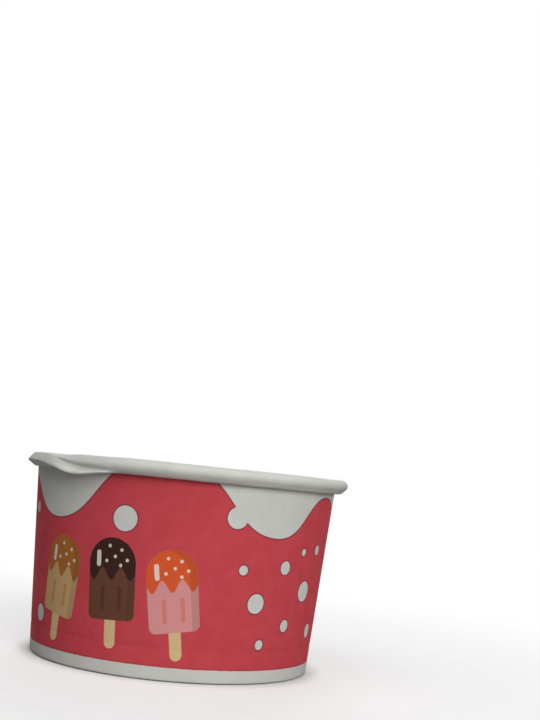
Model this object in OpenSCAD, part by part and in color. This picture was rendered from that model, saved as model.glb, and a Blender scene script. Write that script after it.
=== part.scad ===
// Paper ice-cream cup: a lapped paperboard sidewall with a rolled rim and a ribbed, turned-in foot,
// and a base disc whose skirt is held inside that foot.
// Millimetres. The origin is the middle of the foot, on the table, with +Z up and the front towards -Y.

/* [Cup] */
// Outside diameter over the rolled rim
rim_d = 90; // [75:1:120]
// Outside diameter at the foot
foot_d = 75; // [60:1:84]
// Height from the table to the top of the rim
cup_h = 52; // [35:1:90]
// Thickness of the paperboard
board_t = 0.4; // [0.3:0.05:0.55]

/* [Rolled rim] */
// Outside diameter of the roll
roll_d = 4; // [3:0.25:5]
// Slit between the tucked edge of the roll and the wall
roll_slit = 0.2; // [0.1:0.05:0.4]

/* [Foot] */
// Height of the base disc's underside above the table
recess_h = 9; // [6:0.5:14]
// Room between the hem's cut edge and the base disc
hem_headroom = 1.5; // [1:0.1:3]
// Inside radius of the bend between the base disc and its skirt
bend_r = 0.4; // [0.2:0.1:0.8]
// Film of glue on each side of the skirt
glue_t = 0.05; // [0.02:0.01:0.1]
// Spacing of the ribs pressed into the hem
rib_pitch = 1.5; // [1.2:0.1:3]
// Width of the groove between two ribs
rib_groove_w = 0.9; // [0.5:0.1:1]
// Depth of the groove between two ribs
rib_groove_depth = 0.16; // [0.08:0.02:0.2]

/* [Side seam] */
// Width of the overlap along the side seam
seam_w = 7; // [4:0.5:12]
// Width over which the outer layer settles back onto the wall
seam_fair_w = 3; // [2:0.5:4]
// Direction of the seam's cut edge, in degrees from +X
seam_at = 62; // [0:1:150]

/* [Crushed stretch of rim] */
// Direction of the middle of the crushed stretch, in degrees from +X
crush_at = 205; // [195:1:240]
// Length of the crushed stretch, in degrees round the rim
crush_span = 86; // [60:1:100]
// Thickness of the crushed board, as a share of the sound board
crush_t_share = 0.65; // [0.5:0.05:0.7]

/* [Hidden] */
$fn = 128;
overrun = 1;

// Rolled rim: a circle that the wall runs into as a tangent
roll_r = roll_d / 2;
roll_x = rim_d / 2 - roll_r;
roll_z = cup_h - roll_r;
foot_r = foot_d / 2;
roll_bore = roll_r - board_t;
wall_lean = atan((roll_x - foot_r) / roll_z) - asin(roll_bore / norm([roll_x - foot_r, roll_z]));
// Angles round the roll are counted from straight outwards; the curl starts where the wall ends
curl_start = 180 - wall_lean;
curl_meets_wall = acos(roll_bore / roll_r);
curl_end = curl_meets_wall - wall_lean - 180 + roll_slit / roll_r * 180 / PI;

// Wall and foot: faces that lean alike, each a run further in
board_run = board_t / cos(wall_lean);
glue_run = glue_t / cos(wall_lean);
slot_run = board_run + 2 * glue_run;
hem_h = recess_h - hem_headroom;
function wall_out(z) = foot_r + z * tan(wall_lean);
function wall_in(z) = wall_out(z) - board_run;
function hem_out(z) = wall_in(z) - slot_run;
function hem_in(z) = hem_out(z) - board_run;
function skirt_out(z) = wall_in(z) - glue_run;
function skirt_in(z) = skirt_out(z) - board_run;

arc_steps = 6;
function arc(centre, r, from, to) =
    [for (i = [0:arc_steps]) let (a = from + (to - from) * i / arc_steps) centre + r * [cos(a), sin(a)]];
function on_roll(r, a) = [roll_x, roll_z] + r * [cos(a), sin(a)];

// Ribs: one groove to each pitch round the hem
rib_count = floor(2 * PI * hem_in(hem_h / 2) / rib_pitch);
rib_start_z = 2 * board_t;

// Seam: the overlap and its settled edge as angles round the wall
seam_r = wall_out(cup_h / 2);
seam_angle = seam_w / seam_r * 180 / PI;
seam_fair_lean = atan((board_t - seam_fair_w * seam_fair_w / (2 * seam_r)) / seam_fair_w);
seam_bulge = board_t / 2;

// Crushed rim: rows from its front end to its back end. Each row has the place along the stretch, the long and
// the short half-axis, the tilt of the long axis in degrees, the shifts outwards and upwards, and the sharpness
crush_shares = [
    [0.00, 1.00, 1.00, -60, 0.00, 0.00, 1.00],
    [0.10, 1.06, 0.92, -64, -0.04, -0.06, 1.05],
    [0.21, 1.42, 0.56, -75, -0.22, -0.32, 1.20],
    [0.33, 1.30, 0.60, -55, -0.20, -0.14, 1.30],
    [0.47, 1.15, 0.72, -32, -0.20, 0.00, 1.35],
    [0.63, 0.95, 0.95, -14, -0.25, 0.00, 1.35],
    [0.79, 0.80, 1.06, -8, -0.32, -0.02, 1.35],
    [0.91, 0.92, 1.02, -4, -0.14, 0.00, 1.15],
    [1.00, 1.00, 1.00, 0, 0.00, 0.00, 1.00]
];
crush_steps = 21;
curl_steps = 12;
crush_overlap_share = 0.01;
crush_settle = 80;
crush_soft_share = 0.02;
curl_probe = 1;
curl_short = 6;
roll_mid = roll_r - board_t / 2;
crush_t = board_t * crush_t_share;
crush_root = roll_r;
function crush_value(along, column) = lookup(along, [for (row = crush_shares) [row[0], row[column]]]);
function sharpened(value, power) = value * pow(value * value + crush_soft_share, (power - 1) / 2);
function eased(x) = let (y = min(max(x, 0), 1)) y * y * (3 - 2 * y);

// Middle line of the crushed board at an angle round the roll, set off to one side of the board
function crushed_line(along, a) =
    let (tilt = crush_value(along, 3))
    let (x = roll_mid * crush_value(along, 1) * sharpened(cos(a - tilt), crush_value(along, 6)))
    let (y = roll_mid * crush_value(along, 2) * sharpened(sin(a - tilt), crush_value(along, 6)))
    let (shift = roll_r * [crush_value(along, 4), crush_value(along, 5)])
    let (moved = [roll_x, roll_z] + shift + [x * cos(tilt) - y * sin(tilt), x * sin(tilt) + y * cos(tilt)])
    let (share = eased((curl_start - a) / crush_settle))
    on_roll(roll_mid, a) * (1 - share) + moved * share;
function crushed_face(along, a, side) =
    let (along_line = crushed_line(along, a - curl_probe) - crushed_line(along, a + curl_probe))
    crushed_line(along, a) + side * crush_t / 2 * [-along_line.y, along_line.x] / norm(along_line);

// Wall and fold of the foot, cut through on one side
module wall_outline() {
    polygon(concat(
        arc([wall_out(board_t) - board_t, board_t], board_t, 0, -90),
        arc([hem_in(board_t) + board_t, board_t], board_t, -90, -180),
        [
            [hem_in(rib_start_z), rib_start_z],
            [hem_out(rib_start_z), rib_start_z],
            [hem_out(board_t), board_t],
            [wall_in(board_t), board_t],
            on_roll(roll_r, curl_start),
            on_roll(roll_bore, curl_start)
        ]));
}

// The curl of the rim, cut through on one side, with both ends cut short by an angle
module roll_outline(outer_r, inner_r, short) {
    from = curl_start - short;
    to = curl_end + short;
    open_middle = (curl_start + curl_end + 360) / 2;
    reach = 2 * outer_r;
    translate([roll_x, roll_z])
        difference() {
            circle(outer_r);
            circle(inner_r);
            polygon([
                [0, 0],
                reach * [cos(from), sin(from)],
                reach * [cos(open_middle), sin(open_middle)],
                reach * [cos(to), sin(to)]
            ]);
        }
}

// What the crushed stretch takes the place of: the whole roll there and the upper edge of the wall
module crush_gap() {
    tuck = on_roll(roll_r, curl_end);
    slit_x = (wall_out(tuck.y) + tuck.x) / 2;
    cut_z = roll_z - roll_r / 2;
    rotate([0, 0, crush_at - crush_span / 2])
        rotate_extrude(angle = crush_span)
            polygon([
                [slit_x, roll_z - roll_d],
                [roll_x + roll_d, roll_z - roll_d],
                [roll_x + roll_d, roll_z + roll_d],
                [roll_x - roll_d, roll_z + roll_d],
                [roll_x - roll_d, cut_z],
                [slit_x, cut_z]
            ]);
}

// The crushed part, rooted in the wall and lapped into the sound roll at both ends
module crushed_roll() {
    wall_dir = [sin(wall_lean), cos(wall_lean)];
    points_across = curl_steps + 2;
    ring = 2 * points_across;
    function curl_at(i) =
        curl_start - curl_short + (curl_end - curl_start + 2 * curl_short) * i / curl_steps;
    function root(along, side) = crushed_face(along, curl_start, side) - crush_root * wall_dir;
    function face(along, side) =
        concat([root(along, side)], [for (i = [0:curl_steps]) crushed_face(along, curl_at(i), side)]);
    function placed(along, p) =
        let (turn = crush_at + crush_span * (1 / 2 - along))
        [p.x * cos(turn), p.x * sin(turn), p.y];
    function section(along) = [for (side = [1, -1]) for (p = face(along, side)) placed(along, p)];
    function along_at(k) =
        k == 0 ? -crush_overlap_share :
        k == crush_steps ? 1 + crush_overlap_share :
        crush_overlap_share + (1 - 2 * crush_overlap_share) * (k - 1) / (crush_steps - 2);
    points = [for (k = [0:crush_steps]) for (p = section(along_at(k))) p];
    last = crush_steps * ring;
    // Outer faces, inner faces, the two long edges and the two ends
    faces = concat(
        [for (k = [0:crush_steps - 1]) for (i = [0:points_across - 2])
            let (n = k * ring + i) [n, n + 1, n + ring + 1, n + ring]],
        [for (k = [0:crush_steps - 1]) for (i = [0:points_across - 2])
            let (n = k * ring + points_across + i) [n, n + ring, n + ring + 1, n + 1]],
        [for (k = [0:crush_steps - 1])
            let (n = k * ring) [n, n + ring, n + ring + points_across, n + points_across]],
        [for (k = [0:crush_steps - 1])
            let (n = k * ring + points_across - 1) [n, n + points_across, n + ring + points_across, n + ring]],
        [for (i = [0:points_across - 2]) [i, i + points_across, i + points_across + 1, i + 1]],
        [for (i = [0:points_across - 2])
            [last + i, last + i + 1, last + i + points_across + 1, last + i + points_across]]);
    polyhedron(points, faces);
}

// The outer layer of the lapped seam: a crisp cut edge on one side, settled onto the wall on the other
module seam_layer() {
    top_z = cup_h - roll_d;
    mid_run = board_run / 2;
    rotate([0, 0, seam_at])
        difference() {
            rotate_extrude(angle = seam_angle)
                polygon([
                    [wall_out(board_t) - mid_run, board_t],
                    [wall_out(board_t) + board_run, board_t],
                    [wall_out(top_z) + board_run, top_z],
                    [wall_out(top_z) - mid_run, top_z]
                ]);
            rotate([0, 0, seam_angle])
                translate([foot_r, 0, 0])
                    rotate([0, wall_lean, 0])
                        rotate([0, 0, -seam_fair_lean])
                            translate([0, -2 * seam_w, -cup_h])
                                cube([2 * seam_w, 4 * seam_w, 3 * cup_h]);
        }
}

// The rim is a little fuller where the seam runs through it
module seam_roll() {
    rotate([0, 0, seam_at])
        rotate_extrude(angle = seam_angle)
            roll_outline(roll_r + seam_bulge, roll_mid, curl_short);
}

// The upright hem of the foot, with grooves that leave ribs standing on its inside
module ribbed_hem() {
    groove_len = hem_h - rib_start_z + 2 * overrun;
    open_w = rib_groove_w * (1 + overrun / rib_groove_depth);
    difference() {
        rotate_extrude()
            polygon([
                [hem_in(rib_start_z), rib_start_z],
                [hem_out(rib_start_z), rib_start_z],
                [hem_out(hem_h), hem_h],
                [hem_in(hem_h), hem_h]
            ]);
        for (i = [0:rib_count - 1])
            rotate([0, 0, i * 360 / rib_count])
                translate([hem_in(rib_start_z), 0, rib_start_z])
                    rotate([0, wall_lean, 0])
                        translate([0, 0, -overrun])
                            linear_extrude(groove_len)
                                polygon([
                                    [rib_groove_depth, 0],
                                    [-overrun, open_w / 2],
                                    [-overrun, -open_w / 2]
                                ]);
    }
}

module sidewall() {
    color("firebrick")
        union() {
            difference() {
                union() {
                    rotate_extrude() wall_outline();
                    rotate_extrude() roll_outline(roll_r, roll_bore, 0);
                }
                crush_gap();
            }
            ribbed_hem();
            crushed_roll();
            seam_layer();
            seam_roll();
        }
}

module base_disc() {
    bend_z = recess_h - bend_r;
    bend_x = skirt_in(bend_z) - bend_r;
    edge_z = board_t + glue_t;
    color("whitesmoke")
        rotate_extrude()
            polygon(concat(
                [[0, recess_h + board_t], [0, recess_h]],
                arc([bend_x, bend_z], bend_r, 90, 0),
                [[skirt_in(edge_z), edge_z], [skirt_out(edge_z), edge_z]],
                arc([bend_x, bend_z], bend_r + board_run, 0, 90)));
}

sidewall();
base_disc();
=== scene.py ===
"""Paper ice-cream cup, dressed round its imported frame.

The sidewall is one lapped board with a rolled rim and a ribbed foot. The base disc sits in that foot.
Lengths are in metres. +Z is up, and the front of the print faces -Y.
"""
import math

import bmesh
import bpy
import numpy as np
from mathutils import Matrix
from mathutils import Vector


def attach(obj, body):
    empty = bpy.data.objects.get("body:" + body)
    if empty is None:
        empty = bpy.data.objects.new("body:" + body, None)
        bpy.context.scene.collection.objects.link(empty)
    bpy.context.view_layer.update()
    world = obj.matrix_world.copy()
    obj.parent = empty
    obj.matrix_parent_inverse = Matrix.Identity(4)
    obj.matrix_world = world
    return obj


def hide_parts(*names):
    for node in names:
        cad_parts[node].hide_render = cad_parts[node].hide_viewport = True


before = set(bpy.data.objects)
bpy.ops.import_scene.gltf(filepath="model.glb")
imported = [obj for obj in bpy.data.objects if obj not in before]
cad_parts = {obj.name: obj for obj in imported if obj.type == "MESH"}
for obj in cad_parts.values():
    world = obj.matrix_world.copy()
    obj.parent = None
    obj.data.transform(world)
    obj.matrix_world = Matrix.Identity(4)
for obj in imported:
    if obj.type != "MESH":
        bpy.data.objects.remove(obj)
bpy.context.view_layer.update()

MM = 0.001

# Sizes of the cup
RIM_R = 45 * MM
FOOT_R = 37.5 * MM
CUP_H = 52 * MM
BOARD_T = 0.4 * MM
ROLL_R = 2 * MM
ROLL_SLIT = 0.2 * MM
RECESS_H = 9 * MM
HEM_HEADROOM = 1.5 * MM
BEND_R = 0.4 * MM
GLUE_T = 0.05 * MM
RIB_PITCH = 1.5 * MM
RIB_DEPTH = 0.16 * MM
RIB_START_Z = 0.8 * MM
RIB_FULL_Z = 1.8 * MM
SEAM_W = 7 * MM
SEAM_FAIR_W = 3 * MM
SEAM_AT = 62
CRUSH_AT = 205
CRUSH_SPAN = 86
CRUSH_SETTLE = 80
CRUSH_SOFT_SHARE = 0.02
CRUSH_T_SHARE = 0.7

# Lines that follow from the sizes, as on the drawing of the section
ROLL_X = RIM_R - ROLL_R
ROLL_Z = CUP_H - ROLL_R
ROLL_BORE = ROLL_R - BOARD_T
ROLL_MID = ROLL_R - BOARD_T / 2
FOOT_TO_ROLL = math.hypot(ROLL_X - FOOT_R, ROLL_Z)
WALL_LEAN = math.atan((ROLL_X - FOOT_R) / ROLL_Z) - math.asin(ROLL_BORE / FOOT_TO_ROLL)
CURL_START = 180 - math.degrees(WALL_LEAN)
CURL_MEETS_WALL = math.degrees(math.acos(ROLL_BORE / ROLL_R))
CURL_END = CURL_MEETS_WALL - math.degrees(WALL_LEAN) - 180 + math.degrees(ROLL_SLIT / ROLL_R)
BOARD_RUN = BOARD_T / math.cos(WALL_LEAN)
GLUE_RUN = GLUE_T / math.cos(WALL_LEAN)
HEM_H = RECESS_H - HEM_HEADROOM
CORNER_R = 0.25 * MM
CORNER_Z = BOARD_T / 2 + CORNER_R
SEAM_R = FOOT_R + CUP_H / 2 * math.tan(WALL_LEAN)

# Rows of the crushed stretch of rim: place along it, long and short half-axis, tilt in degrees,
# shifts outwards and upwards, and sharpness
CRUSH_SHARES = np.array([
    (0.00, 1.00, 1.00, -60, 0.00, 0.00, 1.00),
    (0.10, 1.16, 0.84, -70, -0.08, -0.14, 1.08),
    (0.21, 1.40, 0.60, -75, -0.22, -0.32, 1.20),
    (0.31, 1.22, 0.76, -48, -0.18, -0.14, 1.45),
    (0.42, 1.06, 0.88, -16, -0.18, -0.06, 1.70),
    (0.60, 0.98, 0.90, -8, -0.25, -0.06, 1.80),
    (0.79, 0.88, 0.96, -10, -0.32, -0.06, 1.90),
    (0.91, 0.94, 1.02, -4, -0.14, 0.00, 1.40),
    (1.00, 1.00, 1.00, 0, 0.00, 0.00, 1.00),
])

# Creases of the crushed stretch: place along it and angle round the roll at both ends, depth,
# and half-width in degrees. A depth below zero stands out.
CRUSH_CREASES = [
    (0.36, 30, 0.03, -46, 0.70 * MM, 40),
    (0.36, 5, 0.06, -64, 0.40 * MM, 14),
    (0.34, -35, 0.00, -96, -0.95 * MM, 45),
    (0.34, -14, 0.18, -52, 0.18 * MM, 9),
]
CREASE_FADE_SHARE = 0.25

# Mesh steps along the section and round the cup
HEM_STEPS = 5
CORNER_STEPS = 4
CURL_STEPS = 36
WALL_SHARES = np.array([
    0.012, 0.03, 0.05, 0.08, 0.11, 0.128, 0.136, 0.142, 0.148, 0.156, 0.17, 0.19,
    0.23, 0.3, 0.4, 0.5, 0.6, 0.7, 0.78, 0.84, 0.89, 0.93, 0.96, 0.982,
])
COLUMNS_PER_RIB = 4
DISC_STEPS = 152
DISC_BEND_STEPS = 6
DISC_FLAT_STEPS = 8
MERGE_GAP = BOARD_T / 100

# Small unevenness of a pressed board
OVAL_DEPTH = 0.12 * MM
WOBBLE_DEPTH = 0.1 * MM
PRESS_DEPTH = 0.07 * MM
PRESS_W = 0.6 * MM
ROLL_WAVE = 0.04 * MM
LAP_GAP = 0.02 * MM
LAP_FULL_Z = 5 * MM
DISC_DOME = 0.25 * MM

# The roll's lower outer side, pressed in: depth at the front, angle and half-width round the roll,
# and the share by which the right side is deeper and the left side shallower
ROLL_TUCK = 0.4 * MM
ROLL_TUCK_AT = -45
ROLL_TUCK_HALF = 75
ROLL_TUCK_SIDE_SHARE = 0.6

# Waves round the cup: share, count and phase
OVAL_WAVES = [(0.7, 2, 0.6), (0.3, 5, 2)]
WOBBLE_WAVES = [(0.6, 3, 0.8), (0.4, 7, 2.1)]
ROLL_SWAY_WAVES = [(1, 13, 0.4)]
ROLL_TWIST_WAVES = [(1, 22, 1.9)]

# Places on the baked picture: the printed face fills its upper half and the inner face its lower half.
# The cut edges lie in narrow strips between the two, and the ends of the lap along both sides.
BAKE_MARGIN_SHARE = 0.01
BAKE_RUN_SHARE = 0.98
BAKE_FRONT_SHARE = 0.51
BAKE_BACK_SHARE = 0.005
BAKE_FACE_SHARE = 0.485
BAKE_HEM_EDGE_SHARE = 0.4925
BAKE_ROLL_EDGE_SHARE = 0.501
BAKE_EDGE_W_SHARE = 0.0065
BAKE_FIRST_END_SHARE = 0.001
BAKE_LAST_END_SHARE = 0.992
BAKE_END_W_SHARE = 0.007


def eased(x):
    """0 below 0, 1 above 1 and smooth between them."""
    y = np.clip(x, 0, 1)
    return y * y * (3 - 2 * y)


def wall_out(z):
    return FOOT_R + z * math.tan(WALL_LEAN)


def wall_mid(z):
    return wall_out(z) - BOARD_RUN / 2


def skirt_out(z):
    return wall_out(z) - BOARD_RUN - GLUE_RUN


def hem_mid(z):
    """Behind the wall come a film of glue, the skirt, another film and the hem."""
    return wall_mid(z) - 2 * (BOARD_RUN + GLUE_RUN)


def waves_round(angle, waves):
    """Sum of the waves at each angle round the cup."""
    return sum(share * np.sin(count * angle + phase) for share, count, phase in waves)


def on_arc(centre, radius, degrees):
    """Points of an arc in the section, as rows of distance from the axis and height."""
    angle = np.radians(degrees)
    return np.asarray(centre) + radius * np.column_stack([np.cos(angle), np.sin(angle)])


def crush_values(along):
    """The rows of the crushed stretch, joined by a smooth curve through them."""
    places = CRUSH_SHARES[:, 0]
    slopes = np.gradient(CRUSH_SHARES, places, axis=0)
    slopes[[0, -1]] = 0
    row = np.clip(np.searchsorted(places, along) - 1, 0, len(places) - 2)
    width = (places[row + 1] - places[row])[:, None]
    t = (along - places[row])[:, None] / width
    start, end = CRUSH_SHARES[row], CRUSH_SHARES[row + 1]
    lift = t * t * (3 - 2 * t)
    leave = t * (1 - t) * (1 - t) * width * slopes[row]
    arrive = t * t * (t - 1) * width * slopes[row + 1]
    return start + (end - start) * lift + leave + arrive


def sharpened(value, power):
    """A sine or cosine raised to a power, with its sign kept and a soft middle."""
    return value * (value * value + CRUSH_SOFT_SHARE) ** ((power - 1) / 2)


def creases(along, curl):
    """Depth of the creases: a row for each place along, and a column for each angle of the curl."""
    depth = np.zeros((len(along), len(curl)))
    for start, start_curl, end, end_curl, deep, half_width in CRUSH_CREASES:
        share = ((along - start) / (end - start))[:, None]
        fade = eased(share / CREASE_FADE_SHARE) * eased((1 - share) / CREASE_FADE_SHARE)
        middle = start_curl + (end_curl - start_curl) * share
        depth += deep * fade * eased(1 - np.abs(curl[None, :] - middle) / half_width)
    return depth


def crushed_curl(along, curl):
    """Distance from the axis and height of the crushed board, in rows and columns like its creases."""
    _, long, short, tilt, out, up, power = crush_values(along).T[:, :, None]
    lean = np.radians(tilt)
    angle = np.radians(curl)[None, :] - lean
    x = ROLL_MID * long * sharpened(np.cos(angle), power)
    y = ROLL_MID * short * sharpened(np.sin(angle), power)
    moved_x = ROLL_X + ROLL_R * out + x * np.cos(lean) - y * np.sin(lean)
    moved_z = ROLL_Z + ROLL_R * up + x * np.sin(lean) + y * np.cos(lean)
    moved_x -= creases(along, curl)
    sound_x, sound_z = on_arc((ROLL_X, ROLL_Z), ROLL_MID, curl).T
    share = eased((CURL_START - curl) / CRUSH_SETTLE)
    return sound_x * (1 - share) + moved_x * share, sound_z * (1 - share) + moved_z * share


def board_line():
    """Middle line of the board, from the hem's cut edge round the foot, the wall and the roll."""
    hem_z = np.linspace(HEM_H, CORNER_Z, HEM_STEPS + 1)[:-1]
    inner_turn = np.linspace(180, 270, CORNER_STEPS + 1)
    outer_turn = np.linspace(270, 360, CORNER_STEPS + 1)
    curl = np.linspace(CURL_START, CURL_END, CURL_STEPS + 1)
    roll = on_arc((ROLL_X, ROLL_Z), ROLL_MID, curl)
    wall_z = CORNER_Z + (roll[0, 1] - CORNER_Z) * WALL_SHARES
    line = np.vstack([
        np.column_stack([hem_mid(hem_z), hem_z]),
        on_arc((hem_mid(CORNER_Z) + CORNER_R, CORNER_Z), CORNER_R, inner_turn),
        on_arc((wall_mid(CORNER_Z) - CORNER_R, CORNER_Z), CORNER_R, outer_turn),
        np.column_stack([wall_mid(wall_z), wall_z]),
        roll,
    ])
    foot_count = len(hem_z) + len(inner_turn)
    return line, curl, foot_count


# Nodes: a small bench for making trees, and paints as they look on a screen
class Bench:
    """Adds nodes to one tree and joins them."""

    # Places of the colour sockets on a Mix node
    MIX_FIRST = 6
    MIX_SECOND = 7
    MIX_RESULT = 2

    def __init__(self, tree):
        self.tree = tree

    def add(self, kind, **settings):
        node = self.tree.nodes.new(kind)
        for name, value in settings.items():
            setattr(node, name, value)
        return node

    def feed(self, socket, value):
        if isinstance(value, bpy.types.NodeSocket):
            self.tree.links.new(value, socket)
        else:
            socket.default_value = value

    def math(self, operation, *values):
        node = self.add("ShaderNodeMath", operation=operation)
        for socket, value in zip(node.inputs, values):
            self.feed(socket, value)
        return node.outputs[0]

    def hypot(self, x, y):
        return self.math("SQRT", self.math("MULTIPLY_ADD", x, x, self.math("MULTIPLY", y, y)))

    def least(self, values):
        found = values[0]
        for value in values[1:]:
            found = self.math("MINIMUM", found, value)
        return found

    def ease(self, value, low, high):
        node = self.add("ShaderNodeMapRange", interpolation_type="SMOOTHSTEP")
        self.feed(node.inputs["Value"], value)
        self.feed(node.inputs["From Min"], low)
        self.feed(node.inputs["From Max"], high)
        return node.outputs[0]

    def spread(self, value, low, high):
        node = self.add("ShaderNodeMapRange")
        self.feed(node.inputs["Value"], value)
        self.feed(node.inputs["To Min"], low)
        self.feed(node.inputs["To Max"], high)
        return node.outputs[0]

    def mix(self, share, first, second):
        node = self.add("ShaderNodeMix", data_type="RGBA")
        self.feed(node.inputs[0], share)
        self.feed(node.inputs[self.MIX_FIRST], first)
        self.feed(node.inputs[self.MIX_SECOND], second)
        return node.outputs[self.MIX_RESULT]

    def noise(self, place, scale, detail, roughness):
        node = self.add("ShaderNodeTexNoise")
        self.feed(node.inputs["Vector"], place)
        self.feed(node.inputs["Scale"], scale)
        self.feed(node.inputs["Detail"], detail)
        self.feed(node.inputs["Roughness"], roughness)
        return node.outputs["Fac"]

    def group(self, tree, **values):
        node = self.add("ShaderNodeGroup", node_tree=tree)
        for name, value in values.items():
            self.feed(node.inputs[name.replace("_", " ")], value)
        return node.outputs


def new_group(name, inputs, outputs):
    """An empty node group with these sockets, each named with its kind."""
    tree = bpy.data.node_groups.new(name, "ShaderNodeTree")
    for side, sockets in (("INPUT", inputs), ("OUTPUT", outputs)):
        for socket_name, kind in sockets.items():
            tree.interface.new_socket(socket_name, in_out=side, socket_type=kind)
    bench = Bench(tree)
    return bench, bench.add("NodeGroupInput").outputs, bench.add("NodeGroupOutput").inputs


FLOAT = "NodeSocketFloat"
COLOUR = "NodeSocketColor"


def floats(*names):
    return dict.fromkeys(names, FLOAT)


# A screen's curve, from a shown colour to light
SCREEN_TOP = 255
SCREEN_OFFSET = 0.055
SCREEN_POWER = 2.4
SCREEN_DARK = 0.04045
SCREEN_DARK_SLOPE = 12.92


def lit(value):
    shown = value / SCREEN_TOP
    if shown > SCREEN_DARK:
        return ((shown + SCREEN_OFFSET) / (1 + SCREEN_OFFSET)) ** SCREEN_POWER
    return shown / SCREEN_DARK_SLOPE


def paint(red, green, blue):
    """A colour from 0 to 255 as seen on a screen, as a linear one."""
    return lit(red), lit(green), lit(blue), 1


# Finish of the board: ranges of roughness, and depth and strength of its tooth
BOARD_SPECULAR = 0.12
PRINTED_ROUGHNESS = (0.82, 0.9)
PLAIN_ROUGHNESS = (0.82, 0.92)
EDGE_ROUGHNESS = 0.85
INK_SMOOTHING = 0.06
FACE_TOOTH = (0.02 * MM, 0.5)
EDGE_TOOTH = (0.03 * MM, 0.8)

# Grain of the board and of its ink: scale of the noise in one metre, detail and roughness
CLOUD_NOISE = (210, 3, 0.6)
TOOTH_NOISE = (2300, 2, 0.65)
FIBRE_NOISE = (520, 2, 0.5)
RAGGED_NOISE = (900, 3, 0.7)
CLOUD_RANGE = (0.32, 0.68)
FIBRE_SHARE = 1.6

# Paints
RED_INK = paint(206, 75, 84)
RED_INK_DEEP = paint(201, 70, 79)
TRAP_INK = paint(112, 46, 58)
WHITE_BOARD = paint(214, 215, 209)
WHITE_BOARD_DULL = paint(210, 210, 203)
RAW_EDGE = paint(214, 206, 190)
STICK = paint(222, 190, 140)
TAN_ICE = paint(205, 168, 118)
TAN_GLAZE = paint(176, 108, 48)
BROWN_ICE = paint(104, 66, 50)
BROWN_GLAZE = paint(58, 34, 30)
PINK_ICE = paint(222, 150, 150)
PINK_GLAZE = paint(222, 92, 48)
SHINE = paint(240, 232, 222)

# The print: degrees from the front, and heights and radii in millimetres
ARC_R = 39.3 * MM
WHITE_BAND_H = 3.2 * MM

# Crests and drips of the white border: degrees and height
DRIP_TURNS = [
    (-8, 50.4), (1, 50.4), (37, 35.7), (65, 46.9), (98, 37.6), (132, 49.0), (176, 33.6),
    (212, 49.0), (242, 41.5), (277, 46.6), (308, 35.9), (343, 50.4), (352, 50.4),
]

# Dots: degrees, height and radius
WHITE_DOTS = [
    (19.4, 40.1, 2.7), (-20.5, 37.4, 3.1), (-71.4, 37.4, 1.55), (-62.5, 11.0, 2.15),
    (24, 27.5, 1.2), (31, 19.5, 2.4), (43, 28.5, 1.7), (47, 14.0, 1.5), (57, 22.5, 2.6),
    (64, 33.0, 1.3), (35, 9.5, 1.2), (67, 12.0, 1.8), (53, 32.5, 0.9),
    (82, 33.5, 2.2), (88, 20.0, 1.4), (112, 30.5, 1.6), (97, 10.5, 2.1), (142, 38.5, 2.4),
    (-165, 38.5, 1.6), (-134, 30.0, 2.6), (-117, 17.5, 1.7), (-104, 33.5, 2.3), (-96, 24.0, 1.2),
    (-126, 8.5, 1.3), (-87, 11.5, 1.6), (-148, 26.5, 1.5), (-148, 22.4, 1.0), (130, 34.4, 1.2),
]

# Narrow drips: degrees, height and radius of the top, height and radius of the foot
WHITE_DRIPS = [
    (-148, 50.0, 0.8, 32.6, 2.3),
    (130, 50.0, 0.8, 39.6, 1.8),
]

# Ice lollies: degrees, height, lean in degrees and two paints
ICE_LOLLIES = [
    (-48, 21.6, -8, TAN_ICE, TAN_GLAZE),
    (-24, 22.6, 3, BROWN_ICE, BROWN_GLAZE),
    (-1, 21.2, 9, PINK_ICE, PINK_GLAZE),
]

# Sizes of a lolly, from its middle, with its pearls' places in millimetres
ICE_R = 6.3 * MM
ICE_TOP_Y = 3.6 * MM
ICE_FOOT_Y = -4.4 * MM
ICE_CORNER = 1.6 * MM
ICE_BOX_H = 5.4 * MM
GLAZE_Y = 1.2 * MM
GLAZE_WAVE = 1.5 * MM
GLAZE_PITCH = 5 * MM
ICE_SHADE_W = 1.9 * MM
ICE_PEARL_R = 0.42 * MM
ICE_PEARLS = [(-0.6, 7.9), (0.9, 5.4), (2.6, 7.0), (4.1, 4.6), (-1.4, 4.3), (2.4, 3.3)]
ICE_GROOVE_X = 2.3 * MM
ICE_GROOVE_TOP_Y = -2.2 * MM
ICE_GROOVE_FOOT_Y = -7 * MM
ICE_GROOVE_R = 0.55 * MM
ICE_SHINE_X = -3.6 * MM
ICE_SHINE_TOP_Y = 6.2 * MM
ICE_SHINE_FOOT_Y = 3.4 * MM
ICE_SHINE_R = 0.6 * MM
STICK_R = 1.5 * MM
STICK_FOOT_Y = -15 * MM
GROOVE_SHARE = 0.45
SHADE_SHARE = 0.22
SHINE_SHARE = 0.8

# Edges of the ink: their softness, the dark line along the white, the ragged line over the band,
# and the step over which the border's slope is taken
INK_SOFT = 0.07 * MM
TRAP_W = 0.42 * MM
TRAP_FULL_W = 0.2 * MM
TRAP_SHARE = 0.75
BAND_TRAP_SHARE = 0.3
BAND_RAGGED = 0.16 * MM
DRIP_STEP = 0.3 * MM


def arc_at(degrees):
    return math.radians(degrees) * ARC_R


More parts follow.
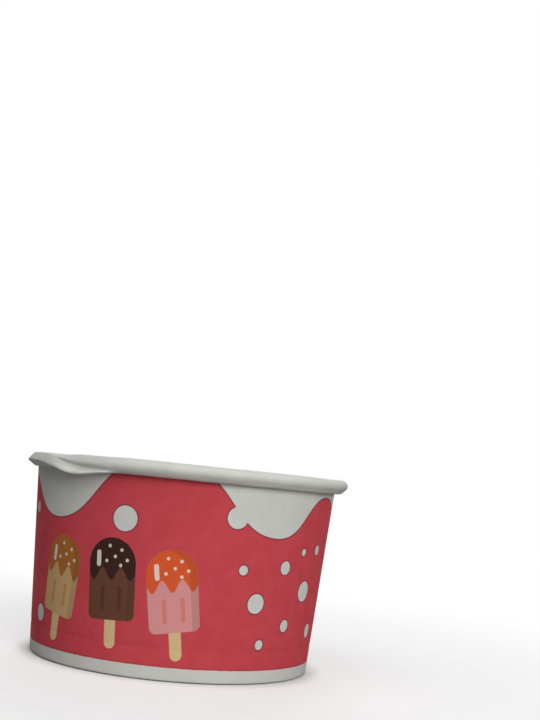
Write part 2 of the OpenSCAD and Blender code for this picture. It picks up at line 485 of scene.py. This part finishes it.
def board_fibres():
    """Clouds of a few millimetres in the coating, and the fine tooth of the fibres under it."""
    bench, _, out = new_group("Board fibres", {}, floats("Cloud", "Tooth"))
    place = bench.add("ShaderNodeTexCoord").outputs["Object"]
    cloud = bench.noise(place, *CLOUD_NOISE)
    tooth = bench.noise(place, *TOOTH_NOISE)
    fibre = bench.noise(place, *FIBRE_NOISE)
    bench.feed(out["Cloud"], bench.ease(cloud, *CLOUD_RANGE))
    bench.feed(out["Tooth"], bench.math("MULTIPLY_ADD", fibre, FIBRE_SHARE, tooth))
    return bench.tree


def wall_map():
    """Distance round the wall from the front, and height above the table."""
    bench, _, out = new_group("Wall map", {}, floats("Arc", "Height"))
    split = bench.add("ShaderNodeSeparateXYZ")
    bench.feed(split.inputs[0], bench.add("ShaderNodeTexCoord").outputs["Object"])
    x, y, z = split.outputs
    angle = bench.math("ARCTAN2", x, bench.math("MULTIPLY", y, -1))
    bench.feed(out["Arc"], bench.math("MULTIPLY", angle, ARC_R))
    bench.feed(out["Height"], z)
    return bench.tree


def disc_shape():
    """How far a point lies outside a disc; below zero is inside it."""
    places = floats("Arc", "Height", "Middle arc", "Middle height", "Radius")
    bench, into, out = new_group("Disc", places, floats("Gap"))
    half = math.pi * ARC_R
    off = bench.math("SUBTRACT", into["Arc"], into["Middle arc"])
    across = bench.math("WRAP", off, half, -half)
    up = bench.math("SUBTRACT", into["Height"], into["Middle height"])
    bench.feed(out["Gap"], bench.math("SUBTRACT", bench.hypot(across, up), into["Radius"]))
    return bench.tree


def drop_shape():
    """How far a point lies outside an upright drop, which is round at its top and at its foot."""
    places = floats("Across", "Height", "Top", "Top radius", "Foot", "Foot radius")
    bench, into, out = new_group("Drop", places, floats("Gap"))
    fall = bench.math("SUBTRACT", into["Top"], into["Height"])
    length = bench.math("SUBTRACT", into["Top"], into["Foot"])
    share = bench.math("DIVIDE", fall, length)
    share.node.use_clamp = True
    past = bench.math("SUBTRACT", fall, bench.math("MULTIPLY", share, length))
    swell = bench.math("SUBTRACT", into["Foot radius"], into["Top radius"])
    radius = bench.math("MULTIPLY_ADD", share, swell, into["Top radius"])
    bench.feed(out["Gap"], bench.math("SUBTRACT", bench.hypot(into["Across"], past), radius))
    return bench.tree


def drip_line():
    """Height of the wavy white border under the rim: a smooth line through its drips and crests."""
    bench, into, out = new_group("Drip line", floats("Arc"), floats("Height"))
    start = DRIP_TURNS[0][0] / 360
    turns_per_metre = 1 / (2 * math.pi * ARC_R)
    turn = bench.math("FRACT", bench.math("MULTIPLY_ADD", into["Arc"], turns_per_metre, -start))
    curve = bench.add("ShaderNodeFloatCurve")
    points = curve.mapping.curves[0].points
    shares = [(degrees / 360 - start, height * MM / CUP_H) for degrees, height in DRIP_TURNS]
    points[0].location = shares[0]
    points[1].location = shares[-1]
    for share in shares[1:-1]:
        points.new(*share)
    for point in points:
        point.handle_type = "AUTO_CLAMPED"
    curve.mapping.update()
    bench.feed(curve.inputs["Value"], turn)
    bench.feed(out["Height"], bench.math("MULTIPLY", curve.outputs[0], CUP_H))
    return bench.tree


def drip_border(line):
    """How far a point lies outside the white border, square to its line."""
    bench, into, out = new_group("Drip border", floats("Arc", "Height"), floats("Gap"))
    left = bench.group(line, Arc=bench.math("SUBTRACT", into["Arc"], DRIP_STEP))["Height"]
    right = bench.group(line, Arc=bench.math("ADD", into["Arc"], DRIP_STEP))["Height"]
    slope = bench.math("DIVIDE", bench.math("SUBTRACT", right, left), 2 * DRIP_STEP)
    stretch = bench.math("SQRT", bench.math("MULTIPLY_ADD", slope, slope, 1))
    fall = bench.math("SUBTRACT", bench.group(line, Arc=into["Arc"])["Height"], into["Height"])
    bench.feed(out["Gap"], bench.math("DIVIDE", fall, stretch))
    return bench.tree


def ice_lolly(drop):
    """Gaps outside the parts of a lolly: its ice, glaze, stick, grooves, shaded side and shine."""
    places = floats("Arc", "Height", "Middle arc", "Middle height", "Lean")
    parts = floats("Ice", "Glaze", "Stick", "Groove", "Shade", "Shine")
    bench, into, out = new_group("Ice lolly", places, parts)
    quarter = math.pi * ARC_R / 2
    off = bench.math("SUBTRACT", into["Arc"], into["Middle arc"])
    across = bench.math("WRAP", off, quarter, -quarter)
    up = bench.math("SUBTRACT", into["Height"], into["Middle height"])
    cosine = bench.math("COSINE", into["Lean"])
    sine = bench.math("SINE", into["Lean"])
    x = bench.math("MULTIPLY_ADD", across, cosine, bench.math("MULTIPLY", up, sine))
    y = bench.math("SUBTRACT", bench.math("MULTIPLY", up, cosine), bench.math("MULTIPLY", across, sine))

    def bar(middle, top, foot, radius):
        gap = bench.group(drop, Across=bench.math("SUBTRACT", x, middle), Height=y,
                          Top=top, Top_radius=radius, Foot=foot, Foot_radius=radius)
        return gap["Gap"]

    def pearl(middle_x, middle_y):
        off_x = bench.math("SUBTRACT", x, middle_x)
        off_y = bench.math("SUBTRACT", y, middle_y)
        return bench.math("SUBTRACT", bench.hypot(off_x, off_y), ICE_PEARL_R)

    side = bench.math("SUBTRACT", bench.math("ABSOLUTE", x), ICE_R - ICE_CORNER)
    end = bench.math("ABSOLUTE", bench.math("SUBTRACT", y, ICE_FOOT_Y))
    end = bench.math("SUBTRACT", end, ICE_BOX_H - ICE_CORNER)
    side = bench.math("MAXIMUM", side, 0)
    end = bench.math("MAXIMUM", end, 0)
    box = bench.math("SUBTRACT", bench.hypot(side, end), ICE_CORNER)
    ice = bench.math("MINIMUM", box, bar(0, ICE_TOP_Y, 0, ICE_R))
    wave = bench.math("COSINE", bench.math("MULTIPLY", x, 2 * math.pi / GLAZE_PITCH))
    border = bench.math("MULTIPLY_ADD", wave, -GLAZE_WAVE, GLAZE_Y)
    bench.feed(out["Ice"], ice)
    bench.feed(out["Glaze"], bench.math("MAXIMUM", ice, bench.math("SUBTRACT", border, y)))
    bench.feed(out["Stick"], bar(0, ICE_FOOT_Y, STICK_FOOT_Y, STICK_R))
    grooves = []
    for groove_x in (-ICE_GROOVE_X, ICE_GROOVE_X):
        grooves.append(bar(groove_x, ICE_GROOVE_TOP_Y, ICE_GROOVE_FOOT_Y, ICE_GROOVE_R))
    bench.feed(out["Groove"], bench.least(grooves))
    bright = bar(-ICE_SHADE_W, ICE_TOP_Y, STICK_FOOT_Y, ICE_R)
    bench.feed(out["Shade"], bench.math("MAXIMUM", ice, bench.math("MULTIPLY", bright, -1)))
    pearls = [pearl(pearl_x * MM, pearl_y * MM) for pearl_x, pearl_y in ICE_PEARLS]
    streak = bar(ICE_SHINE_X, ICE_SHINE_TOP_Y, ICE_SHINE_FOOT_Y, ICE_SHINE_R)
    bench.feed(out["Shine"], bench.least([streak, *pearls]))
    return bench.tree


def cup_print(wall, disc, drop, border, lolly, fibres):
    """The print on the outside of the board, and how much of it is ink."""
    bench, _, out = new_group("Cup print", {}, {"Colour": COLOUR, "Ink": FLOAT})
    place = bench.group(wall)
    arc, height = place["Arc"], place["Height"]
    cloud = bench.group(fibres)["Cloud"]
    gaps = [bench.group(border, Arc=arc, Height=height)["Gap"]]
    for degrees, middle, radius in WHITE_DOTS:
        gap = bench.group(disc, Arc=arc, Height=height, Middle_arc=arc_at(degrees),
                          Middle_height=middle * MM, Radius=radius * MM)
        gaps.append(gap["Gap"])
    for degrees, top, top_radius, foot, foot_radius in WHITE_DRIPS:
        off = bench.math("SUBTRACT", arc, arc_at(degrees))
        gap = bench.group(drop, Across=off, Height=height, Top=top * MM, Top_radius=top_radius * MM,
                          Foot=foot * MM, Foot_radius=foot_radius * MM)
        gaps.append(gap["Gap"])
    ragged = bench.noise(bench.add("ShaderNodeTexCoord").outputs["Object"], *RAGGED_NOISE)
    ragged = bench.spread(ragged, -BAND_RAGGED, BAND_RAGGED)
    band = bench.math("ADD", bench.math("SUBTRACT", height, WHITE_BAND_H), ragged)
    white = bench.least(gaps)
    bare = bench.math("MINIMUM", white, band)
    ink = bench.ease(bare, -INK_SOFT, INK_SOFT)
    colour = bench.mix(cloud, RED_INK, RED_INK_DEEP)
    for degrees, middle, lean, ice_paint, glaze_paint in ICE_LOLLIES:
        parts = bench.group(lolly, Arc=arc, Height=height, Middle_arc=arc_at(degrees),
                            Middle_height=middle * MM, Lean=math.radians(lean))
        layers = [
            ("Stick", STICK, 1),
            ("Ice", ice_paint, 1),
            ("Groove", glaze_paint, GROOVE_SHARE),
            ("Glaze", glaze_paint, 1),
            ("Shade", BROWN_GLAZE, SHADE_SHARE),
            ("Shine", SHINE, SHINE_SHARE),
        ]
        for part, layer_paint, strength in layers:
            cover = bench.math("MULTIPLY", bench.ease(parts[part], INK_SOFT, -INK_SOFT), strength)
            colour = bench.mix(cover, colour, layer_paint)
    for gap, share in ((white, TRAP_SHARE), (band, BAND_TRAP_SHARE)):
        trap = bench.ease(bench.math("ABSOLUTE", gap), TRAP_W, TRAP_FULL_W)
        colour = bench.mix(bench.math("MULTIPLY", trap, share), colour, TRAP_INK)
    paper = bench.mix(cloud, WHITE_BOARD, WHITE_BOARD_DULL)
    bench.feed(out["Colour"], bench.mix(ink, paper, colour))
    bench.feed(out["Ink"], ink)
    return bench.tree


def board_material(name):
    """A material with its shader ready, and the bench for its nodes."""
    material = bpy.data.materials.new(name)
    material.use_nodes = True
    bench = Bench(material.node_tree)
    shader = material.node_tree.nodes["Principled BSDF"]
    shader.inputs["Specular IOR Level"].default_value = BOARD_SPECULAR
    return material, bench, shader.inputs


def tooth_bump(bench, tooth, depth, strength):
    bump = bench.add("ShaderNodeBump")
    bump.inputs["Distance"].default_value = depth
    bump.inputs["Strength"].default_value = strength
    bench.feed(bump.inputs["Height"], tooth)
    return bump.outputs[0]


def make_materials():
    fibres = board_fibres()
    drop = drop_shape()
    border = drip_border(drip_line())
    print_tree = cup_print(wall_map(), disc_shape(), drop, border, ice_lolly(drop), fibres)

    printed, bench, shader = board_material("printed_board")
    art = bench.group(print_tree)
    grain = bench.group(fibres)
    bench.feed(shader["Base Color"], art["Colour"])
    rough = bench.spread(grain["Cloud"], *PRINTED_ROUGHNESS)
    bench.feed(shader["Roughness"], bench.math("MULTIPLY_ADD", art["Ink"], -INK_SMOOTHING, rough))
    bench.feed(shader["Normal"], tooth_bump(bench, grain["Tooth"], *FACE_TOOTH))

    plain, bench, shader = board_material("plain_board")
    grain = bench.group(fibres)
    bench.feed(shader["Base Color"], bench.mix(grain["Cloud"], WHITE_BOARD, WHITE_BOARD_DULL))
    bench.feed(shader["Roughness"], bench.spread(grain["Cloud"], *PLAIN_ROUGHNESS))
    bench.feed(shader["Normal"], tooth_bump(bench, grain["Tooth"], *FACE_TOOTH))

    edge, bench, shader = board_material("cut_edge")
    grain = bench.group(fibres)
    bench.feed(shader["Base Color"], bench.mix(grain["Cloud"], RAW_EDGE, WHITE_BOARD_DULL))
    shader["Roughness"].default_value = EDGE_ROUGHNESS
    bench.feed(shader["Normal"], tooth_bump(bench, grain["Tooth"], *EDGE_TOOTH))
    return printed, plain, edge


def finished(bm, name, materials):
    """Turns the faces outwards, keeps the borders of the cut edges crisp, and makes the object.

    The cut edges take the last material.
    """
    bmesh.ops.recalc_face_normals(bm, faces=bm.faces)
    for face in bm.faces:
        face.smooth = True
    cut = len(materials) - 1
    for edge in bm.edges:
        sides = {face.material_index == cut for face in edge.link_faces}
        edge.smooth = len(sides) == 1
    mesh = bpy.data.meshes.new(name)
    bm.to_mesh(mesh)
    bm.free()
    for material in materials:
        mesh.materials.append(material)
    piece = bpy.data.objects.new(name, mesh)
    bpy.context.scene.collection.objects.link(piece)
    return piece


def sidewall_points():
    """Places of the board's printed and inner face, a row for each column round the cup."""
    line, curl, foot_count = board_line()
    rib_count = math.floor(2 * math.pi * (hem_mid(HEM_H / 2) - BOARD_RUN / 2) / RIB_PITCH)
    columns = rib_count * COLUMNS_PER_RIB
    step = 360 / columns
    lap_columns = round(math.degrees((SEAM_W - SEAM_FAIR_W) / SEAM_R) / step)
    fair_columns = round(math.degrees(SEAM_FAIR_W / SEAM_R) / step)
    column = np.arange(columns + lap_columns + 1)
    turn = SEAM_AT + (lap_columns - column) * step
    angle = np.radians(turn)
    x = np.repeat(line[None, :, 0], len(column), axis=0)
    z = np.repeat(line[None, :, 1], len(column), axis=0)

    along = (CRUSH_AT + CRUSH_SPAN / 2 - turn % 360) / CRUSH_SPAN
    crushed = (along > 0) & (along < 1)
    crushed_x, crushed_z = crushed_curl(along[crushed], curl)
    first_curl = line.shape[0] - len(curl)
    x[crushed, first_curl:] = crushed_x
    z[crushed, first_curl:] = crushed_z

    curl_angle = np.radians(curl)[None, :]
    rise = np.clip(line[:, 1] / CUP_H, 0, 1)[None, :]
    wall_only = (np.arange(len(line)) >= foot_count)[None, :]
    oval = waves_round(angle, OVAL_WAVES)
    wobble = waves_round(angle, WOBBLE_WAVES) - 1
    press = np.exp(-((line[:, 1] - HEM_H) / PRESS_W) ** 2)[None, :] * wall_only
    x += OVAL_DEPTH * oval[:, None] * rise ** 2 - PRESS_DEPTH * press
    z += WOBBLE_DEPTH * wobble[:, None] * rise ** 3
    sway = waves_round(angle, ROLL_SWAY_WAVES)[:, None] * np.cos(curl_angle)
    twist = waves_round(angle, ROLL_TWIST_WAVES)[:, None] * np.sin(2 * curl_angle)
    waves = ROLL_WAVE * (sway + twist) * eased((CURL_START - curl) / CRUSH_SETTLE)
    bruised = np.zeros(len(column))
    bruised[crushed] = np.sqrt(np.sin(np.pi * along[crushed]))
    tuck = ROLL_TUCK * eased(1 - np.abs(curl - ROLL_TUCK_AT) / ROLL_TUCK_HALF)
    tucked = (1 - bruised) * (1 + ROLL_TUCK_SIDE_SHARE * np.cos(angle))
    dents = waves - tuck * tucked[:, None]
    x[:, first_curl:] += dents * np.cos(curl_angle)
    z[:, first_curl:] += dents * np.sin(curl_angle)

    run_x = np.gradient(x, axis=1)
    run_z = np.gradient(z, axis=1)
    run = np.hypot(run_x, run_z)
    out_x = run_z / run
    out_z = -run_x / run

    high = np.where(wall_only, eased(line[:, 1] / LAP_FULL_Z)[None, :], 0)
    under = eased((lap_columns + fair_columns - column) / fair_columns)[:, None]
    over = eased((column - (columns - fair_columns)) / fair_columns)[:, None]
    low = 1 - high
    thin = (under + over) * low * (BOARD_T / 2 - LAP_GAP)
    lift = over * (high * (BOARD_T + LAP_GAP) + low * BOARD_T / 4) - under * low * BOARD_T / 4
    curled = np.arange(len(line)) >= first_curl
    thickness = BOARD_T * (1 - (1 - CRUSH_T_SHARE) * bruised[:, None] * curled) - thin

    groove = (1 + np.cos(2 * np.pi * column / COLUMNS_PER_RIB)) / 2
    ribbed = eased((line[:, 1] - RIB_START_Z) / (RIB_FULL_Z - RIB_START_Z))[None, :] * ~wall_only
    across = np.cos(angle)[:, None]
    ahead = np.sin(angle)[:, None]
    faces = []
    for side, dent in ((1, RIB_DEPTH * groove[:, None] * ribbed), (-1, 0)):
        off = lift + side * thickness / 2 - dent
        face_x = x + out_x * off
        faces.append(np.stack([face_x * across, face_x * ahead, z + out_z * off], axis=2))
    length = np.concatenate([[0], np.cumsum(np.hypot(*np.diff(line, axis=0).T))])
    return faces[0], faces[1], length / length[-1], foot_count


# Places of the sidewall's materials
PRINTED = 0
PLAIN = 1
CUT = 2


def make_sidewall(printed, plain, edge):
    """The flat board, folded into two faces, is wrapped round the cup and closed along its cut edges."""
    front, back, length_shares, foot_count = sidewall_points()
    rings, stations = front.shape[:2]
    points = np.concatenate([front, back[:, ::-1]], axis=1)
    slots = 2 * stations
    bm = bmesh.new()
    bmesh.ops.create_grid(bm, x_segments=rings - 1, y_segments=slots, size=RIM_R)
    bm.verts.ensure_lookup_table()
    verts = list(bm.verts)
    ring_slot = {vert: (index % rings, index // rings % slots) for index, vert in enumerate(verts)}
    for vert, (ring, slot) in ring_slot.items():
        vert.co = points[ring, slot]
    hem_edge = {verts[slots * rings + ring]: verts[ring] for ring in range(rings)}
    bmesh.ops.weld_verts(bm, targetmap=hem_edge)
    for end_ring in (0, rings - 1):
        border = [side for side in bm.edges if all(ring_slot[vert][0] == end_ring for vert in side.verts)]
        bmesh.ops.edgeloop_fill(bm, edges=border)

    uv_layer = bm.loops.layers.uv.new("OFBake")
    for face in bm.faces:
        found = [ring_slot[vert] for vert in face.verts]
        is_cap = len(found) > 4
        is_front = [slot < stations for _, slot in found]
        is_cut = is_cap or len(set(is_front)) == 2
        is_printed = is_front[0] and min(slot for _, slot in found) >= foot_count - 1
        face.material_index = CUT if is_cut else PRINTED if is_printed else PLAIN
        for loop, (ring, slot), on_front in zip(face.loops, found, is_front):
            station = slot if on_front else slots - 1 - slot
            share = length_shares[station]
            u = BAKE_MARGIN_SHARE + BAKE_RUN_SHARE * ring / (rings - 1)
            if is_cap:
                start = BAKE_FIRST_END_SHARE if ring == 0 else BAKE_LAST_END_SHARE
                u = start + BAKE_END_W_SHARE * on_front
                v = BAKE_MARGIN_SHARE + BAKE_RUN_SHARE * share
            elif is_cut:
                start = BAKE_HEM_EDGE_SHARE if station == 0 else BAKE_ROLL_EDGE_SHARE
                v = start + BAKE_EDGE_W_SHARE * on_front
            else:
                start = BAKE_FRONT_SHARE if on_front else BAKE_BACK_SHARE
                v = start + BAKE_FACE_SHARE * share
            loop[uv_layer].uv = (u, v)
    return finished(bm, "cup_sidewall", (printed, plain, edge))


def make_base_disc(plain, edge):
    """A disc with its edge turned down into a skirt."""
    bend_z = RECESS_H - BEND_R
    bend_x = skirt_out(bend_z) - BOARD_RUN - BEND_R
    edge_z = BOARD_T + GLUE_T
    quarter = np.linspace(90, 0, DISC_BEND_STEPS + 1)
    flat_x = np.linspace(0, bend_x, DISC_FLAT_STEPS + 1)[:-1]
    sag = DISC_DOME * (1 - (flat_x / bend_x) ** 2) ** 2
    inner_bend = on_arc((bend_x, bend_z), BEND_R, quarter)
    outer_bend = on_arc((bend_x, bend_z), BEND_R + BOARD_RUN, quarter)
    profile = np.vstack([
        np.column_stack([flat_x, RECESS_H - sag]),
        inner_bend,
        [(skirt_out(edge_z) - BOARD_RUN, edge_z), (skirt_out(edge_z), edge_z)],
        outer_bend[::-1],
        np.column_stack([flat_x, RECESS_H + BOARD_T - sag])[::-1],
    ])
    cut_edge = len(flat_x) + len(inner_bend)
    bm = bmesh.new()
    slot_layer = bm.verts.layers.int.new("slot")
    wire = [bm.verts.new((x, 0, z)) for x, z in profile]
    for slot, vert in enumerate(wire):
        vert[slot_layer] = slot
    edges = [bm.edges.new(pair) for pair in zip(wire, wire[1:])]
    bmesh.ops.spin(bm, geom=wire + edges, cent=(0, 0, 0), axis=(0, 0, 1), dvec=(0, 0, 0),
                   angle=2 * math.pi, steps=DISC_STEPS, use_merge=True, use_duplicate=False)
    bmesh.ops.remove_doubles(bm, verts=bm.verts, dist=MERGE_GAP)
    for face in bm.faces:
        slots = {vert[slot_layer] for vert in face.verts}
        face.material_index = int(slots == {cut_edge, cut_edge + 1})
    return finished(bm, "cup_base_disc", (plain, edge))


# The two boards of the cup
printed_board, plain_board, cut_edge_board = make_materials()
sidewall = make_sidewall(printed_board, plain_board, cut_edge_board)
base_disc = make_base_disc(plain_board, cut_edge_board)
dressed = [(sidewall, "sidewall", "printed_board"), (base_disc, "base_disc", "plain_board")]
for piece, node, slot in dressed:
    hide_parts(node)
    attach(piece, "root")

# Floor and world: the floor is white far from the cup and takes its shadow near it
FLOOR_SIZE = 8
FLOOR_GAP = 0.15 * MM
NEAR_FLOOR = 0.043
FAR_FLOOR = 0.26
FLOOR_SEEN = (0.9, 0.9, 0.9, 1)
FLOOR_SHADE = (0.22, 0.22, 0.22, 1)
FLOOR_GLOW_SHARE = 0.5
FLOOR_ROUGHNESS = 0.9
WORLD_COLOUR = (1, 1, 1, 1)
WORLD_LIGHT = 0.09

# Lamps: place, size across and watts
CUP_MIDDLE = Vector((0, 0, CUP_H / 2))
LAMPS = {
    "key": ((0.4, -1.05, 0.48), 0.8, 10),
    "overhead": ((-0.3, -0.35, 1.1), 1.0, 4.5),
    "back": ((0.1, 1.05, 0.72), 0.8, 6),
}


def seen_rays(bench):
    """1 for what is seen directly, mirrored or through glass, and 0 for light that falls on the cup."""
    rays = bench.add("ShaderNodeLightPath").outputs
    direct = bench.math("MAXIMUM", rays["Is Camera Ray"], rays["Is Glossy Ray"])
    return bench.math("MAXIMUM", direct, rays["Is Transmission Ray"])


def make_floor():
    bm = bmesh.new()
    bmesh.ops.create_grid(bm, x_segments=1, y_segments=1, size=FLOOR_SIZE / 2)
    bmesh.ops.translate(bm, verts=bm.verts, vec=(0, 0, -FLOOR_GAP))
    mesh = bpy.data.meshes.new("floor")
    bm.to_mesh(mesh)
    bm.free()
    floor = bpy.data.objects.new("floor", mesh)
    bpy.context.scene.collection.objects.link(floor)
    material = bpy.data.materials.new("pale_floor")
    material.use_nodes = True
    bench = Bench(material.node_tree)
    shader = material.node_tree.nodes["Principled BSDF"]
    shader.inputs["Roughness"].default_value = FLOOR_ROUGHNESS
    glow = bench.add("ShaderNodeEmission")
    distance = bench.add("ShaderNodeVectorMath", operation="LENGTH")
    bench.feed(distance.inputs[0], bench.add("ShaderNodeTexCoord").outputs["Object"])
    near = bench.ease(distance.outputs["Value"], FOOT_R, NEAR_FLOOR)
    far = bench.ease(distance.outputs["Value"], NEAR_FLOOR, FAR_FLOOR)
    near_white = bench.math("MULTIPLY", near, FLOOR_GLOW_SHARE)
    white = bench.math("MULTIPLY_ADD", far, 1 - FLOOR_GLOW_SHARE, near_white)
    seen = seen_rays(bench)
    bench.feed(shader.inputs["Base Color"], bench.mix(seen, FLOOR_SHADE, FLOOR_SEEN))
    blend = bench.add("ShaderNodeMixShader")
    bench.feed(blend.inputs[0], bench.math("MULTIPLY", white, seen))
    bench.feed(blend.inputs[1], shader.outputs[0])
    bench.feed(blend.inputs[2], glow.outputs[0])
    bench.feed(material.node_tree.nodes["Material Output"].inputs["Surface"], blend.outputs[0])
    mesh.materials.append(material)


def make_world():
    world = bpy.data.worlds.new("studio")
    bpy.context.scene.world = world
    world.use_nodes = True
    bench = Bench(world.node_tree)
    background = world.node_tree.nodes["Background"]
    background.inputs["Color"].default_value = WORLD_COLOUR
    bench.feed(background.inputs["Strength"], bench.spread(seen_rays(bench), WORLD_LIGHT, 1))


def area_light(name, place, size, watts):
    light = bpy.data.lights.new(name, "AREA")
    light.shape = "DISK"
    light.size = size
    light.energy = watts
    lamp = bpy.data.objects.new(name, light)
    lamp.location = place
    lamp.rotation_euler = (CUP_MIDDLE - lamp.location).to_track_quat("-Z", "Y").to_euler()
    bpy.context.scene.collection.objects.link(lamp)


make_floor()
make_world()
for lamp_name, settings in LAMPS.items():
    area_light(lamp_name, *settings)

# Camera at the photograph's angle: distance, angles in degrees, lens and sensor in millimetres, shift
CAMERA_DISTANCE = 0.322
CAMERA_RISE = 4.1
CAMERA_ROLL = 5.2
CAMERA_TILT = 13.5
CAMERA_TURN = 4.5
CAMERA_LENS = 75
CAMERA_SENSOR_W = 36
CAMERA_SHIFT = -0.13
CAMERA_NEAR = 0.01
camera_data = bpy.data.cameras.new("camera")
camera_data.sensor_fit = "HORIZONTAL"
camera_data.sensor_width = CAMERA_SENSOR_W
camera_data.lens = CAMERA_LENS
camera_data.shift_y = CAMERA_SHIFT
camera_data.clip_start = CAMERA_NEAR
camera = bpy.data.objects.new("camera", camera_data)
rise = math.radians(CAMERA_RISE)
camera.location = CUP_MIDDLE + CAMERA_DISTANCE * Vector((0, -math.cos(rise), math.sin(rise)))
aim = (CUP_MIDDLE - camera.location).to_track_quat("-Z", "Y").to_matrix()
for degrees, axis in ((CAMERA_ROLL, "Z"), (-CAMERA_TURN, "Y"), (CAMERA_TILT, "X")):
    aim = aim @ Matrix.Rotation(math.radians(degrees), 3, axis)
camera.rotation_euler = aim.to_euler()
bpy.context.scene.collection.objects.link(camera)
bpy.context.scene.camera = camera
bpy.context.scene.view_settings.view_transform = "Standard"

bpy.context.view_layer.update()
